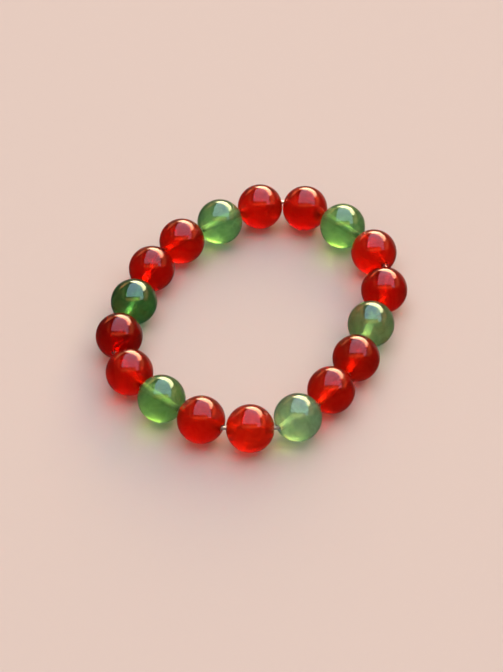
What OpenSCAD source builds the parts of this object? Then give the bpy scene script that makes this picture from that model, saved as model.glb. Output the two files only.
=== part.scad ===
// A beaded stretch bracelet: eighteen drilled round stone beads, two red and then one green all the way
// round, strung on one closed loop of elastic cord. It lies on a flat surface, in the loose oval that it
// was put down in, with its lowest points at z = 0 and the middle of its outline at x = y = 0.

/* [Beads] */
// Diameter of each round bead
bead_d = 10; // [8:0.5:14]
// Diameter of the hole drilled through each bead
bore_d = 1.2; // [1.1:0.1:1.5]
// Width of the bevel ground round each mouth of the hole
bevel_w = 0.2; // [0.1:0.05:0.3]

/* [Pattern] */
// Each bead whose number round the loop divides by this is green
green_every = 3; // [2:1:18]

/* [Cord] */
// Diameter of the elastic cord
cord_d = 0.7; // [0.4:0.05:0.7]
// Number of flat sides round the cord
cord_sides = 8; // [6:1:12]

/* [Colours] */
// Colour of the red stone
red_stone = "#b5160c"; // [#b5160c:Carnelian, #7a1020:Garnet, #d2691e:Amber]
// Colour of the green stone
green_stone = "#5f9a5c"; // [#5f9a5c:Green agate, #2e6b4f:Jade, #9ccf8f:Chrysoprase]
// Colour of the elastic cord
cord_colour = "#d9b6a6"; // [#d9b6a6:Clear, #f5f5f5:White, #202020:Black]

/* [Hidden] */
// How the string lies, one row a bead, clockwise seen from above from the bead that is furthest back.
// The turn is how far the string turns to the right at the bead, in degrees. All the turns make 360.
// The gap is the clear space before the next bead, in hundredths of the bead's diameter.
TURN = 0;
GAP = 1;
LAY = [
    // TURN, GAP
    [31, 1],
    [31, 1],
    [16, 5],
    [30, 15],
    [27, 4],
    [2, 2],
    [12, 3],
    [12, 1],
    [30, 2],
    [30, 4],
    [21, 1],
    [12, 1],
    [29, 5],
    [30, 3],
    [4, 4],
    [18, 5],
    [17, 2],
    [8, 1]
];
// Direction from the first bead to the second, in degrees from +X
first_heading = -5;
// Rounds in which neighbouring holes are turned to face each other
settling_rounds = 4;

bead_count = len(LAY);
bead_r = bead_d / 2;
bore_r = bore_d / 2;
// The cord runs straight through a bead and bends this far from the bead's centre, just inside the mouth
bend_reach = 0.92 * bead_r;
// Each bend of the cord is cut across from this far before it to this far after it
bend_cut = 0.03 * bead_r;

// The name of a bead's node: its stone, and its number round the loop in two digits
function is_green(i) = (i + 1) % green_every == 0;
function bead_name(i) = str(is_green(i) ? "green" : "red", "_bead_", i < 9 ? "0" : "", i + 1);

BEADS = [0 : bead_count - 1];

function unit(v) = v / norm(v);
function toward(angle) = [cos(angle), sin(angle)];
// An item of a list that goes round: the one after the last is the first again
function around(list, i) = list[(i + len(list)) % len(list)];
// The same for a list of directions, which lose a whole turn each time round
function lap(angles, i) = around(angles, i) + (i < 0 ? 360 : i >= len(angles) ? -360 : 0);

// Direction of the string from each bead to the next
function turned(i) = i == 0 ? 0 : turned(i - 1) + LAY[i][TURN];
HEADINGS = [for (i = BEADS) first_heading - turned(i)];

// Each bead's centre is reached by steps from bead to bead. What the last step misses the first bead by is
// shared out over all the beads, so that the loop closes.
function stepped(i) = bead_d * (1 + LAY[i][GAP] / 100) * toward(HEADINGS[i]);
function walked(i) = i == 0 ? [0, 0] : walked(i - 1) + stepped(i - 1);
miss = walked(bead_count);
CLOSED = [for (i = BEADS) walked(i) - miss * i / bead_count];
function middle(values) = (min(values) + max(values)) / 2;
loop_middle = [middle([for (c = CLOSED) c.x]), middle([for (c = CLOSED) c.y])];
CENTRES = [for (c = CLOSED) c - loop_middle];

// Direction of each bead's hole. It starts halfway between the string before the bead and the string after
// it, and then each round brings the mean of two neighbouring holes nearer to the string between them.
function halfway(i) = (lap(HEADINGS, i - 1) + HEADINGS[i]) / 2;
function settle(angles) = [
    for (i = BEADS) angles[i] / 2 + halfway(i) - (lap(angles, i - 1) + lap(angles, i + 1)) / 4
];
function settled(angles, rounds) = rounds == 0 ? angles : settled(settle(angles), rounds - 1);
BORES = settled([for (i = BEADS) halfway(i)], settling_rounds);

// The cord's middle line: a bend just inside each mouth of each bead, with its corner cut across
CORNERS = [for (i = BEADS) for (side = [-1, 1]) CENTRES[i] + side * bend_reach * toward(BORES[i])];
ROUTE = [
    for (k = [0 : len(CORNERS) - 1])
        for (side = [-1, 1])
            CORNERS[k] + bend_cut * unit(around(CORNERS, k + side) - CORNERS[k])
];

// The drill: a straight bore that opens at each mouth in a 45 degree bevel, which runs on outwards
module drill() {
    mouth_r = bore_r + bevel_w;
    mouth_z = sqrt(pow(bead_r, 2) - pow(mouth_r, 2));
    flare_z = bead_d;
    flare_r = mouth_r + flare_z - mouth_z;
    rotate_extrude($fn = 48)
        polygon([
            [0, -flare_z],
            [flare_r, -flare_z],
            [bore_r, bevel_w - mouth_z],
            [bore_r, mouth_z - bevel_w],
            [flare_r, flare_z],
            [0, flare_z]
        ]);
}

// A round bead, drilled along its z axis
module drilled_bead() {
    difference() {
        sphere(d = bead_d, $fn = 96);
        drill();
    }
}

// One bead in its place, with its hole along the string
module bead(i) {
    color(is_green(i) ? green_stone : red_stone)
        translate([CENTRES[i].x, CENTRES[i].y, bead_r])
            rotate([0, 90, BORES[i]])
                drilled_bead();
}

// A closed tube of the cord's thickness along the route, level with the middle of the beads
module elastic_cord() {
    rings = len(ROUTE);
    points = [
        for (k = [0 : rings - 1])
            let (along = unit(around(ROUTE, k + 1) - ROUTE[k]) + unit(ROUTE[k] - around(ROUTE, k - 1)))
            let (out = unit([-along.y, along.x]))
            for (s = [0 : cord_sides - 1])
                let (side = cord_d / 2 * toward(360 * s / cord_sides))
                [ROUTE[k].x + side.x * out.x, ROUTE[k].y + side.x * out.y, bead_r + side.y]
    ];
    faces = [
        for (k = [0 : rings - 1])
            for (s = [0 : cord_sides - 1])
                let (here = k * cord_sides, next = (k + 1) % rings * cord_sides, t = (s + 1) % cord_sides)
                for (face = [[here + s, here + t, next + s], [here + t, next + t, next + s]])
                    face
    ];
    color(cord_colour)
        polyhedron(points, faces);
}

for (i = BEADS)
    bead(i);
elastic_cord();
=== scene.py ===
import math

import bpy
import numpy as np
from mathutils import Matrix, Vector

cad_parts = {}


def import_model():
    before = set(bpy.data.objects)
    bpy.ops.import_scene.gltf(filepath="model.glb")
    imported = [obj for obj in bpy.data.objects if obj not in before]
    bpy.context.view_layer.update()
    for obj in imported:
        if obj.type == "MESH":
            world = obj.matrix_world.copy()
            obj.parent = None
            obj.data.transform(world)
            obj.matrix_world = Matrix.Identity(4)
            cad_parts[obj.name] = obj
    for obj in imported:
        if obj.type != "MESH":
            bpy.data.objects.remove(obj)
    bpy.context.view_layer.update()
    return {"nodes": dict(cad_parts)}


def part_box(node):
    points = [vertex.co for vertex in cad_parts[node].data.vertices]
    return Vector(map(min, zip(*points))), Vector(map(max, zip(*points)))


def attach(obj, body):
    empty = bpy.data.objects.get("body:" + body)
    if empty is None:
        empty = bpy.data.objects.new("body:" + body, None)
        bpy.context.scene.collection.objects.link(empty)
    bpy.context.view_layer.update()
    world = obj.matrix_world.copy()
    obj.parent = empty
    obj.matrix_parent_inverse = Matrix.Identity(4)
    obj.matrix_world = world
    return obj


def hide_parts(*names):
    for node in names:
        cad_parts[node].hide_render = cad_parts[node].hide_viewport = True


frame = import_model()

# A stretch bracelet: eighteen drilled stone beads, two red and one green in turn, on a closed loop of clear
# elastic cord. It lies on a pale floor, lit by a window above it and a low sun behind it.

MM = 0.001

# Photograph: where the camera stands. Degrees, millimetres and pixels of the 503 x 672 picture.
PICTURE_HEIGHT = 672
FOCAL_PIXELS = 2182
ELEVATION = 48.2
ROLL = 1.51
AIM = (-0.40, -6.74, 5.0)
DISTANCE = 463.6
SENSOR = 36

# The nearest and the farthest that the camera sees, in metres
NEAREST = 0.01
FARTHEST = 100

# How finely the pieces are meshed
TURN_STEPS = 96
ARC_STEPS = 64
WALL_STEPS = 24
CORD_SIDES = 16
CORNER_STEPS = 4
# Edges that turn by more than this, in degrees, are shaded sharp
SHARP_TURN = 30
# CAD points beyond this share of a bead's radius are on its round skin, and the others are in its bore
SKIN_FROM = 0.985

# The cord's route, as shares of a bead's radius: where it bends and how far each corner is cut across
BEND_REACH = 0.92
BEND_CUT = 0.03
CORD_DIAMETER = 0.7 * MM

# Each bead's stone. Depth is how strongly it is coloured and milk how strongly it scatters light, both
# against the middling bead of its colour. Warm goes from 0, the stone's cooler colour, to 1, its warmer
# one. Pale goes from 0, the stone's full colour, to 1, its palest.
STONES = {
    # node: (DEPTH, MILK, WARM, PALE)
    "red_bead_01": (0.85, 1.2, 0.4, 0.0),
    "red_bead_02": (0.95, 1.0, 0.4, 0.0),
    "green_bead_03": (0.92, 0.8, 0.8, 0.1),
    "red_bead_04": (0.82, 0.8, 0.5, 0.0),
    "red_bead_05": (0.98, 0.5, 0.9, 0.0),
    "green_bead_06": (0.62, 1.2, 0.3, 0.3),
    "red_bead_07": (0.74, 0.5, 0.5, 0.0),
    "red_bead_08": (0.70, 0.4, 0.9, 0.0),
    "green_bead_09": (0.40, 1.3, 0.3, 0.9),
    "red_bead_10": (0.46, 1.1, 0.1, 0.0),
    "red_bead_11": (0.74, 1.1, 0.3, 0.0),
    "green_bead_12": (0.88, 0.8, 0.8, 0.0),
    "red_bead_13": (0.75, 0.7, 0.2, 0.0),
    "red_bead_14": (1.25, 0.8, 0.2, 0.0),
    "green_bead_15": (1.50, 0.8, 0.3, 0.0),
    "red_bead_16": (1.00, 0.3, 1.0, 0.0),
    "red_bead_17": (0.88, 0.5, 0.8, 0.0),
    "green_bead_18": (0.82, 0.8, 0.4, 0.1),
}

# Dark spots in the stone: where on the bead, as a direction from its centre, and how wide, in bead radii
STAINS = {
    # node: (RIGHT, BEHIND, UP, WIDTH)
    "red_bead_02": (0.62, -0.71, 0.34, 0.45),
}
STAIN_COLOUR = (0.12, 0.03, 0.01, 1)
STAIN_STRENGTH = 0.85

# What each stone is like. Gloss tints what its skin mirrors. Cool, warm and pale are its own tint, and cloud
# darkens that in its clouds. Dimming is how much red, green and blue light it takes per metre. Scatter is
# how often it turns light per metre, and lean how far forward it turns it, up to 1.
RED_STONE = {
    "gloss": (1.0, 0.38, 0.40),
    "cool": (0.97, 0.07, 0.02),
    "warm": (0.97, 0.14, 0.04),
    "pale": (1.0, 0.40, 0.20),
    "cloud": (0.92, 0.65, 0.65),
    "dimming": (72, 380, 480),
    "scatter": 1000,
    "lean": 0.92,
}
GREEN_STONE = {
    "gloss": (0.9, 1.0, 1.0),
    "cool": (0.40, 0.71, 0.44),
    "warm": (0.55, 0.80, 0.42),
    "pale": (0.58, 0.94, 0.68),
    "cloud": (0.68, 0.78, 0.72),
    "dimming": (145, 66, 125),
    "scatter": 650,
    "lean": 0.95,
}

# Both stones: roughness of the polish, from its smoothest to its roughest, and of the ground wall of the
# bore. Clouds lie in the stone, smears on its polish and marks along its bore, each in so many to a metre.
STONE_IOR = 1.54
POLISH = (0.04, 0.07)
WALL_ROUGHNESS = 0.85
WALL_COLOUR = (1, 1, 1, 1)
CLOUD_SCALE = 350.0
CLOUD_DETAIL = 4.0
CLOUD_SWIRL = 1.2
SMEAR_SCALE = 800.0
SMEAR_DETAIL = 3.0
MARK_SCALE = 9000.0
MARK_DETAIL = 2.0
# Height of the marks' relief, and the share of it that the clouds have on the polish
STONE_RELIEF = 0.008 * MM
CLOUD_RELIEF = 0.5

# The elastic: clearer and milkier in fine lines, with the same measures as a stone's
CORD_IOR = 1.5
CORD_TRANSMISSION = 0.75
# The pink in the clear, milky and gloss colours is painted light from the red stones round the cord. The
# elastic itself is clear.
CORD_CLEAR_PAINTED_PINK = (0.96, 0.70, 0.60, 1)
CORD_MILKY_PAINTED_PINK = (0.88, 0.54, 0.45, 1)
CORD_ROUGHNESS = (0.45, 0.6)
CORD_GLOSS_PAINTED_PINK = (1.0, 0.62, 0.55, 1)
CORD_DIMMING = (20, 80, 100)
CORD_SCATTER = 3500
CORD_LEAN = 0.3
LINE_SCALE = 2500.0
LINE_DETAIL = 2.0
LINE_SWIRL = 0.3
CORD_RELIEF = 0.01 * MM

# Most values of a noise lie between these two
NOISE_LOW = 0.35
NOISE_HIGH = 0.65
# An absorbing body takes its density times one less its colour. The most dimmed colour is this much less.
DIMMED_MOST = 0.98

# The floor and the sky. The sky is pale for the floor and the background, and dim in and through the stones.
FLOOR_REACH = 30.0
FLOOR_COLOUR = (0.552, 0.443, 0.390, 1)
SKY_COLOUR = (1.0, 0.93, 0.88, 1)
SKY_PALE = 0.35
SKY_DIM = 0.05

# Lamps. Their places are on a dome of this radius, or on a ceiling at this height, in metres.
LAMP_REACH = 10.0

# The kinds of ray that a lamp is for: what the skin mirrors, the light in the room and the light inside
# the stones
MIRROR = ("glossy",)
ROOM = ("diffuse",)
INSIDE = ("transmission", "volume_scatter")
ALL_RAYS = MIRROR + ROOM + INSIDE

# Outline of the window on the ceiling, in ceiling heights to the right of and behind the bracelet
WINDOW = [
    # RIGHT, BEHIND
    (-0.69, -0.25),
    (-0.54, 0.32),
    (-0.44, 0.96),
    (-0.32, 1.80),
    (-0.10, 2.40),
    (0.29, 2.25),
    (0.65, 1.60),
    (0.86, 0.95),
    (0.97, 0.50),
    (1.05, 0.10),
    (1.33, -0.58),
    (0.82, -0.64),
    (0.66, -0.28),
    (0.00, -0.33),
]

# The window's sill and its left frame, outlined in the same columns
SILL = [
    # RIGHT, BEHIND
    (-0.85, -0.43),
    (-0.40, -0.46),
    (0.40, -0.46),
    (0.80, -0.43),
    (1.00, -0.72),
    (0.00, -0.85),
    (-0.95, -0.72),
]
LEFT_FRAME = [
    # RIGHT, BEHIND
    (-1.40, -0.37),
    (-1.20, 0.35),
    (-1.15, 1.20),
    (-0.95, 1.05),
    (-0.93, 0.22),
    (-1.12, -0.42),
]

# The lit floor behind the bracelet, which the far rims of the stones mirror. It is a lamp on the lower half
# of the dome, since the floor itself isn't mirrored. Azimuth is from straight behind the bracelet, and low
# and high are its elevations, in degrees.
FLOOR_BAND = [
    # AZIMUTH, LOW, HIGH
    (azimuth, -42, -4) for azimuth in range(-20, 51, 10)
]

# The low sun's band, from left to right, in the same columns
SUN_BAND = [
    # AZIMUTH, LOW, HIGH
    (-5, 8, 18),
    (0, 4.5, 24),
    (6, 3.5, 27),
    (12, 4, 29),
    (20, 6.5, 31),
    (28, 10.5, 33),
    (36, 15, 36),
    (44, 20.5, 38.5),
    (50, 26, 40),
    (56, 33, 41),
]

# The same band for the light that goes into the stones
GLOW_BAND = [
    # AZIMUTH, LOW, HIGH
    (2, 10, 20),
    (12, 8, 30),
    (24, 10, 37),
    (36, 14, 42),
    (48, 22, 44),
    (58, 32, 42),
]

# Warm patches on both sides of the sun's band
LEFT_PATCH = [
    # AZIMUTH, LOW, HIGH
    (-40, 12, 20),
    (-34, 10, 24),
    (-28, 9, 23),
    (-22, 9, 18),
]
RIGHT_PATCH = [
    # AZIMUTH, LOW, HIGH
    (46, 18, 22),
    (54, 19, 27),
    (64, 20, 32),
    (76, 21, 34),
    (88, 22, 33),
    (98, 24, 31),
]


def unit(v):
    return v / np.linalg.norm(v)


def between(first, second, share):
    return tuple(a + (b - a) * share for a, b in zip(first, second))


def bead_place(node):
    """Centre, radius, bore direction, bore radius and mouth radius of a bead, read from its CAD mesh."""
    points = np.array([v.co for v in frame["nodes"][node].data.vertices], float)
    low, high = (np.array(corner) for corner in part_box(node))
    away = np.linalg.norm(points - (low + high) / 2, axis=1)
    skin = points[away > SKIN_FROM * away.max()]
    # |p|^2 = 2 c.p + (r^2 - |c|^2) holds for each point of the sphere
    rows = np.column_stack([2 * skin, np.ones(len(skin))])
    answer = np.linalg.lstsq(rows, (skin ** 2).sum(1), rcond=None)[0]
    centre = answer[:3]
    radius = math.sqrt(answer[3] + centre @ centre)
    # The bore's points spread furthest along it
    wall = points[np.linalg.norm(points - centre, axis=1) < SKIN_FROM * radius]
    axis = np.linalg.svd(wall - wall.mean(0))[2][0]

    def off_axis(some):
        return np.linalg.norm(np.cross(some - centre, axis), axis=1)

    return {
        "centre": centre,
        "radius": radius,
        "axis": axis,
        "bore": off_axis(wall).min(),
        "mouth": off_axis(skin).min(),
    }


def string_beads():
    """All the beads in the order of the string, with each bore's direction pointing to the next bead."""
    names = sorted((n for n in frame["nodes"] if "bead" in n), key=lambda n: n[-2:])
    beads = [dict(bead_place(n), node=n) for n in names]
    for bead, after in zip(beads, beads[1:] + beads[:1]):
        if bead["axis"] @ (after["centre"] - bead["centre"]) < 0:
            bead["axis"] = -bead["axis"]
    return beads


def bead_section(bead):
    """Half section of a drilled bead as (along the bore, off its axis), and how many points are outside."""
    radius = bead["radius"]
    start = math.asin(bead["mouth"] / radius)
    section = []
    for k in range(ARC_STEPS + 1):
        angle = start + (math.pi - 2 * start) * k / ARC_STEPS
        section.append((radius * math.cos(angle), radius * math.sin(angle)))
    neck = radius * math.cos(start) - (bead["mouth"] - bead["bore"])
    for k in range(WALL_STEPS + 1):
        section.append((neck * (2 * k / WALL_STEPS - 1), bead["bore"]))
    return section, ARC_STEPS + 1


def new_object(name, vertices, faces, material):
    mesh = bpy.data.meshes.new(name)
    mesh.from_pydata([tuple(v) for v in vertices], [], faces)
    mesh.materials.append(material)
    mesh.polygons.foreach_set("use_smooth", [True] * len(mesh.polygons))
    mesh.set_sharp_from_angle(angle=math.radians(SHARP_TURN))
    mesh.validate()
    piece = bpy.data.objects.new(name, mesh)
    bpy.context.scene.collection.objects.link(piece)
    return piece


def write_attribute(piece, name, domain, values):
    layer = piece.data.attributes.new(name, "FLOAT", domain)
    layer.data.foreach_set("value", values)


def bead_piece(bead):
    """One drilled bead, turned about its bore, with the drilled wall marked for its material."""
    section, outside = bead_section(bead)
    side = unit(np.cross(bead["axis"], (0.0, 0.0, 1.0)))
    rise = np.cross(side, bead["axis"])
    vertices = []
    for s in range(TURN_STEPS):
        angle = 2 * math.pi * s / TURN_STEPS
        out = math.cos(angle) * side + math.sin(angle) * rise
        for along, off in section:
            vertices.append(bead["centre"] + along * bead["axis"] + off * out)
    faces = []
    drilled = []
    count = len(section)
    for s in range(TURN_STEPS):
        here = s * count
        there = (s + 1) % TURN_STEPS * count
        for k in range(count):
            k_next = (k + 1) % count
            faces.append((here + k, there + k, there + k_next, here + k_next))
            drilled.append(0.0 if k < outside - 1 else 1.0)
    green = bead["node"].startswith("green")
    piece = new_object("stone_" + bead["node"], vertices, faces, stone(bead, green))
    write_attribute(piece, "drilled", "FACE", drilled)
    write_attribute(piece, "along", "POINT", [along for along, off in section] * TURN_STEPS)
    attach(piece, "root")
    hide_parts(bead["node"])
    return piece


def cord_route(beads):
    """Middle line of the cord: straight through each bead, with a small round bend just inside each mouth."""
    corners = []
    for bead in beads:
        for side in (-1, 1):
            corners.append(bead["centre"] + side * BEND_REACH * bead["radius"] * bead["axis"])
    cut = BEND_CUT * beads[0]["radius"]
    route = []
    for k, corner in enumerate(corners):
        before = corner + cut * unit(corners[k - 1] - corner)
        after = corner + cut * unit(corners[(k + 1) % len(corners)] - corner)
        for step in range(CORNER_STEPS + 1):
            t = step / CORNER_STEPS
            route.append((1 - t) ** 2 * before + 2 * t * (1 - t) * corner + t * t * after)
    return route


def cord_piece(beads):
    """The elastic cord: one closed round tube through all the bores."""
    route = cord_route(beads)
    up = np.array([0.0, 0.0, 1.0])
    vertices = []
    for k, point in enumerate(route):
        along = unit(route[(k + 1) % len(route)] - route[k - 1])
        out = unit(np.cross(along, up))
        for s in range(CORD_SIDES):
            angle = 2 * math.pi * s / CORD_SIDES
            vertices.append(point + CORD_DIAMETER / 2 * (math.cos(angle) * out + math.sin(angle) * up))
    faces = []
    for k in range(len(route)):
        here = k * CORD_SIDES
        there = (k + 1) % len(route) * CORD_SIDES
        for s in range(CORD_SIDES):
            t = (s + 1) % CORD_SIDES
            faces.append((here + s, here + t, there + t, there + s))
    piece = new_object("clear_elastic_cord", vertices, faces, clear_elastic())
    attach(piece, "root")
    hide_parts("elastic_cord")
    return piece


class Nodes:
    """Adds shader nodes to one material and links them.

    A Mix node has inputs for each kind of value: 2 and 3 for numbers, and 6 and 7 for colours.
    """

    def __init__(self, name, **values):
        """A new material whose Principled shader has the given values on its own sockets."""
        self.material = bpy.data.materials.new(name)
        self.material.use_nodes = True
        self.tree = self.material.node_tree
        self.shader = self.tree.nodes["Principled BSDF"]
        for socket, value in values.items():
            self.shader.inputs[socket.replace("_", " ")].default_value = value

    def add(self, kind, settings=(), **inputs):
        """A new node. An input is a value, or a socket of another node to link."""
        node = self.tree.nodes.new("ShaderNode" + kind)
        for setting, value in dict(settings).items():
            setattr(node, setting, value)
        for socket, value in inputs.items():
            self.feed(node.inputs[socket.replace("_", " ")], value)
        return node

    def feed(self, socket, value):
        if isinstance(value, bpy.types.NodeSocket):
            self.tree.links.new(value, socket)
        else:
            socket.default_value = value

    def place(self):
        """Where a point is in the frame, in metres."""
        return self.add("TexCoord").outputs["Object"]

    def noise(self, scale, detail, distortion=0.0, where=None):
        """Values of a soft noise, at the point's own place unless another is given."""
        where = where or self.place()
        node = self.add("TexNoise", Vector=where, Scale=scale, Detail=detail, Distortion=distortion)
        return node.outputs["Fac"]

    def spread(self, value, low, high):
        """The middle part of a noise's values, spread from low to high."""
        node = self.add(
            "MapRange", Value=value, From_Min=NOISE_LOW, From_Max=NOISE_HIGH, To_Min=low, To_Max=high
        )
        return node.outputs["Result"]

    def mix(self, share, first, second):
        """A number between two numbers."""
        node = self.add("Mix")
        self.feed(node.inputs[0], share)
        self.feed(node.inputs[2], first)
        self.feed(node.inputs[3], second)
        return node.outputs[0]

    def blend(self, share, first, second):
        """A colour between two colours."""
        node = self.add("Mix", {"data_type": "RGBA"})
        self.feed(node.inputs[0], share)
        self.feed(node.inputs[6], first)
        self.feed(node.inputs[7], second)
        return node.outputs[2]

    def times(self, first, second):
        node = self.add("Math", {"operation": "MULTIPLY"})
        self.feed(node.inputs[0], first)
        self.feed(node.inputs[1], second)
        return node.outputs[0]

    def distance(self, first, second):
        node = self.add("VectorMath", {"operation": "DISTANCE"})
        self.feed(node.inputs[0], first)
        self.feed(node.inputs[1], second)
        return node.outputs["Value"]

    def attribute(self, name):
        return self.add("Attribute", {"attribute_name": name}).outputs["Fac"]

    def bump(self, height, distance):
        return self.add("Bump", Strength=1.0, Distance=distance, Height=height).outputs["Normal"]

    def fill(self, dimming, scatter, lean):
        """Fills the inside with a body that dims and scatters light, per metre."""
        density = max(dimming) / DIMMED_MOST
        colour = [1 - each / density for each in dimming] + [1]
        absorb = self.add("VolumeAbsorption", Color=colour, Density=density)
        turn = self.add("VolumeScatter", Color=(1, 1, 1, 1), Density=scatter, Anisotropy=lean)
        both = self.add("AddShader")
        self.feed(both.inputs[0], absorb.outputs["Volume"])
        self.feed(both.inputs[1], turn.outputs["Volume"])
        self.feed(self.tree.nodes["Material Output"].inputs["Volume"], both.outputs["Shader"])


def stone(bead, green):
    """Polished translucent stone with clouds in it, and a ground wall where it is drilled."""
    depth, milk, warm, pale = STONES[bead["node"]]
    kind = GREEN_STONE if green else RED_STONE
    nodes = Nodes(
        "stone_" + bead["node"],
        IOR=STONE_IOR,
        Transmission_Weight=1.0,
        Specular_Tint=kind["gloss"] + (1,),
    )
    drilled = nodes.attribute("drilled")
    clouds = nodes.noise(CLOUD_SCALE, CLOUD_DETAIL, CLOUD_SWIRL)
    smears = nodes.noise(SMEAR_SCALE, SMEAR_DETAIL)
    along = nodes.add("CombineXYZ", X=nodes.attribute("along")).outputs["Vector"]
    marks = nodes.noise(MARK_SCALE, MARK_DETAIL, where=along)

    clear = between(between(kind["cool"], kind["warm"], warm), kind["pale"], pale)
    cloudy = tuple(a * b for a, b in zip(clear, kind["cloud"]))
    skin = nodes.blend(nodes.spread(clouds, 0.0, 1.0), clear + (1,), cloudy + (1,))
    if bead["node"] in STAINS:
        skin = stained(nodes, skin, bead, STAINS[bead["node"]])
    roughness = nodes.mix(drilled, nodes.spread(smears, *POLISH), WALL_ROUGHNESS)
    height = nodes.mix(drilled, nodes.times(clouds, CLOUD_RELIEF), marks)
    shader = nodes.shader.inputs
    nodes.feed(shader["Base Color"], nodes.blend(drilled, skin, WALL_COLOUR))
    nodes.feed(shader["Roughness"], roughness)
    nodes.feed(shader["Normal"], nodes.bump(height, STONE_RELIEF))
    nodes.fill([each * depth for each in kind["dimming"]], kind["scatter"] * milk, kind["lean"])
    return nodes.material


def stained(nodes, skin, bead, stain):
    """The skin's colour with a soft dark spot in it."""
    right, behind, up, width = stain
    spot = bead["centre"] + bead["radius"] * unit(np.array((right, behind, up)))
    dark = nodes.add(
        "MapRange",
        {"interpolation_type": "SMOOTHSTEP"},
        Value=nodes.distance(nodes.place(), tuple(spot)),
        From_Min=0.0,
        From_Max=width * bead["radius"],
        To_Min=STAIN_STRENGTH,
        To_Max=0.0,
    )
    return nodes.blend(dark.outputs["Result"], skin, STAIN_COLOUR)


def clear_elastic():
    """Clear elastic, a little milky, with fine lines along it. Its pink base colour and pink gloss tint are
    painted light from the red stones round it, since the elastic itself is clear.
    """
    nodes = Nodes(
        "clear_elastic",
        IOR=CORD_IOR,
        Transmission_Weight=CORD_TRANSMISSION,
        Specular_Tint=CORD_GLOSS_PAINTED_PINK,
    )
    shader = nodes.shader.inputs
    lines = nodes.noise(LINE_SCALE, LINE_DETAIL, LINE_SWIRL)
    # Base colour: clearer and milkier in fine lines, tinted with painted pink light from the red stones
    nodes.feed(shader["Base Color"], nodes.blend(lines, CORD_CLEAR_PAINTED_PINK, CORD_MILKY_PAINTED_PINK))
    nodes.feed(shader["Roughness"], nodes.spread(lines, *CORD_ROUGHNESS))
    nodes.feed(shader["Normal"], nodes.bump(lines, CORD_RELIEF))
    nodes.fill(CORD_DIMMING, CORD_SCATTER, CORD_LEAN)
    return nodes.material


def lamp(name, vertices, glow, faces, colour, radiance):
    """A glowing panel that hides nothing behind it. Glow is 1 inside it and 0 at its faded edge."""
    material = bpy.data.materials.new(name)
    material.use_nodes = True
    tree = material.node_tree
    shine = tree.nodes.new("ShaderNodeEmission")
    shine.inputs["Color"].default_value = colour + (1,)
    fade = tree.nodes.new("ShaderNodeAttribute")
    fade.attribute_name = "glow"
    strength = tree.nodes.new("ShaderNodeMath")
    strength.operation = "MULTIPLY"
    strength.inputs[1].default_value = radiance
    tree.links.new(fade.outputs["Fac"], strength.inputs[0])
    tree.links.new(strength.outputs[0], shine.inputs["Strength"])
    through = tree.nodes.new("ShaderNodeBsdfTransparent")
    both = tree.nodes.new("ShaderNodeAddShader")
    tree.links.new(shine.outputs["Emission"], both.inputs[0])
    tree.links.new(through.outputs["BSDF"], both.inputs[1])
    tree.links.new(both.outputs["Shader"], tree.nodes["Material Output"].inputs["Surface"])
    piece = new_object(name, vertices, faces, material)
    write_attribute(piece, "glow", "POINT", glow)
    piece.visible_camera = False
    piece.visible_shadow = False
    return piece


def ceiling_lamp(name, outline, colour, radiance, fade):
    """A lamp flat on the ceiling. It fades over this width, in ceiling heights, with its outline midway."""
    corners = np.array(outline)
    last = np.roll(corners, 1, axis=0)
    before = corners - last
    after = np.roll(before, -1, axis=0)
    way_round = np.sign(np.sum(last[:, 0] * corners[:, 1] - corners[:, 0] * last[:, 1]))
    outward = []
    for a, b in zip(before, after):
        along = unit(unit(a) + unit(b))
        outward.append(np.array([along[1], -along[0]]) * way_round)
    half = np.array(outward) * fade / 2
    count = len(corners)
    rings = (*(corners - half), *(corners + half))
    vertices = [(x * LAMP_REACH, y * LAMP_REACH, LAMP_REACH) for x, y in rings]
    faces = [tuple(range(count))]
    faces += [(k, (k + 1) % count, count + (k + 1) % count, count + k) for k in range(count)]
    return lamp(name, vertices, [1.0] * count + [0.0] * count, faces, colour, radiance)


def toward(azimuth, elevation):
    """The place on the dome in a direction. Azimuth 0 is straight behind the bracelet, 90 to its right."""
    a = math.radians(azimuth)
    e = math.radians(elevation)
    return (
        LAMP_REACH * math.sin(a) * math.cos(e),
        LAMP_REACH * math.cos(a) * math.cos(e),
        LAMP_REACH * math.sin(e),
    )


def dome_lamp(name, band, colour, radiance, fade):
    """A lamp on the dome, between a band's lower and upper elevations. It fades over this many degrees."""
    first = band[0]
    last = band[-1]
    vertices = []
    glow = []
    for azimuth, low, high in [(first[0] - fade, *first[1:]), *band, (last[0] + fade, *last[1:])]:
        inner = min(fade / 2, (high - low) / 3)
        for elevation in (low - fade / 2, low + inner, high - inner, high + fade / 2):
            vertices.append(toward(azimuth, elevation))
        lit = 1.0 if first[0] <= azimuth <= last[0] else 0.0
        glow += [0.0, lit, lit, 0.0]
    faces = []
    for k in range(len(band) + 1):
        for row in range(3):
            faces.append((4 * k + row, 4 * k + 4 + row, 4 * k + 5 + row, 4 * k + 1 + row))
    return lamp(name, vertices, glow, faces, colour, radiance)


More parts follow.
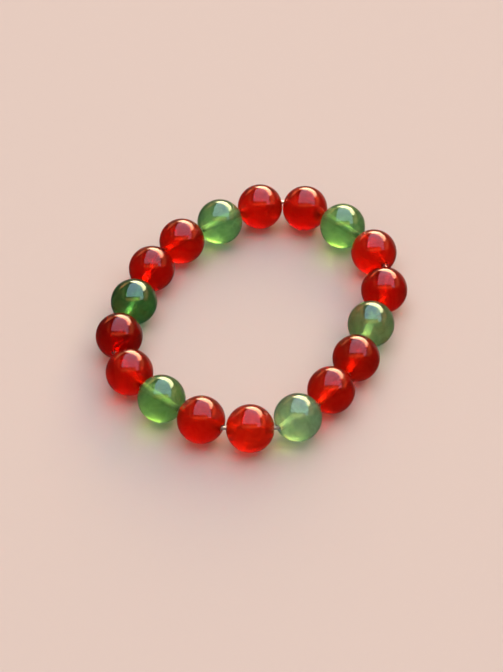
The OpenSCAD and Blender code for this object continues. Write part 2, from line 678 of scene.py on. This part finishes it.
def lights():
    """The window and the low sun, each apart for what the skin mirrors, for the room and for the stones."""
    for name, make, outline, fade, colour, radiance, rays in (
        # NAME, MAKER, OUTLINE, FADE, COLOUR, RADIANCE, KINDS OF RAY
        ("window_mirrored", ceiling_lamp, WINDOW, 0.08, (0.62, 0.83, 1.05), 3.9, MIRROR),
        ("window_room", ceiling_lamp, WINDOW, 0.08, (0.80, 0.83, 0.95), 2.4, ROOM),
        ("window_inside", ceiling_lamp, WINDOW, 0.08, (0.60, 0.86, 1.0), 2.4, INSIDE),
        ("sun_mirrored", dome_lamp, SUN_BAND, 8.0, (1.0, 0.84, 0.48), 17.0, MIRROR),
        ("sun_room", dome_lamp, SUN_BAND, 8.0, (1.0, 0.77, 0.42), 8.0, ROOM),
        ("sun_inside", dome_lamp, GLOW_BAND, 5.0, (1.0, 0.61, 0.21), 29.0, INSIDE),
        ("left_patch", dome_lamp, LEFT_PATCH, 12.0, (1.0, 0.50, 0.18), 3.0, MIRROR),
        ("right_patch", dome_lamp, RIGHT_PATCH, 20.0, (1.0, 0.50, 0.18), 2.6, MIRROR),
        ("sill", ceiling_lamp, SILL, 0.28, (1.0, 0.50, 0.14), 3.0, MIRROR),
        ("floor_mirrored", dome_lamp, FLOOR_BAND, 6.0, (1.0, 0.70, 0.54), 0.38, MIRROR),
        ("left_frame", ceiling_lamp, LEFT_FRAME, 0.20, (1.0, 0.80, 0.30), 1.3, MIRROR),
    ):
        piece = make(name, outline, colour, radiance, fade)
        for ray in ALL_RAYS:
            setattr(piece, "visible_" + ray, ray in rays)


def world():
    """The sky: pale for the rays from the camera and from the floor, and dim for all the others."""
    made = bpy.data.worlds.new("studio")
    made.use_nodes = True
    tree = made.node_tree
    background = tree.nodes["Background"]
    background.inputs["Color"].default_value = SKY_COLOUR
    ray = tree.nodes.new("ShaderNodeLightPath")
    pale = tree.nodes.new("ShaderNodeMath")
    pale.operation = "MAXIMUM"
    tree.links.new(ray.outputs["Is Camera Ray"], pale.inputs[0])
    tree.links.new(ray.outputs["Is Diffuse Ray"], pale.inputs[1])
    strength = tree.nodes.new("ShaderNodeMix")
    tree.links.new(pale.outputs[0], strength.inputs[0])
    strength.inputs[2].default_value = SKY_DIM
    strength.inputs[3].default_value = SKY_PALE
    tree.links.new(strength.outputs[0], background.inputs["Strength"])
    bpy.context.scene.world = made


def floor():
    """A plain matt floor, which the skin of the stones doesn't mirror."""
    r = FLOOR_REACH
    nodes = Nodes("pale_floor", Base_Color=FLOOR_COLOUR, Roughness=1.0, Specular_IOR_Level=0.0)
    corners = [(-r, -r, 0), (r, -r, 0), (r, r, 0), (-r, r, 0)]
    piece = new_object("floor", corners, [(0, 1, 2, 3)], nodes.material)
    piece.visible_glossy = False
    return piece


def camera():
    """The camera at the photograph's angle, rolled a little as the photograph is."""
    e = math.radians(ELEVATION)
    r = math.radians(ROLL)
    forward = Vector((0, math.cos(e), -math.sin(e)))
    right = Vector((1, 0, 0))
    down = Vector((0, -math.sin(e), -math.cos(e)))
    x_axis = math.cos(r) * right + math.sin(r) * down
    y_axis = math.sin(r) * right - math.cos(r) * down
    data = bpy.data.cameras.new("camera")
    data.sensor_width = SENSOR
    data.lens = FOCAL_PIXELS * SENSOR / PICTURE_HEIGHT
    data.clip_start = NEAREST
    data.clip_end = FARTHEST
    seen = bpy.data.objects.new("camera", data)
    seen.rotation_mode = "QUATERNION"
    seen.rotation_quaternion = Matrix((x_axis, y_axis, -forward)).transposed().to_quaternion()
    seen.location = Vector(AIM) * MM - DISTANCE * MM * forward
    bpy.context.scene.collection.objects.link(seen)
    bpy.context.scene.camera = seen


def render_settings():
    """Plain colours, and enough bounces for light that goes through several stones."""
    scene = bpy.context.scene
    scene.view_settings.view_transform = "Standard"
    scene.view_settings.look = "None"
    scene.cycles.use_denoising = True
    scene.cycles.max_bounces = 20
    scene.cycles.transmission_bounces = 20
    scene.cycles.glossy_bounces = 8
    scene.cycles.diffuse_bounces = 6
    scene.cycles.volume_bounces = 24
    scene.cycles.caustics_refractive = True
    scene.cycles.caustics_reflective = False
    scene.cycles.blur_glossy = 0.0


camera()
render_settings()
lights()
world()
floor()
beads = string_beads()
for bead in beads:
    bead_piece(bead)
cord_piece(beads)
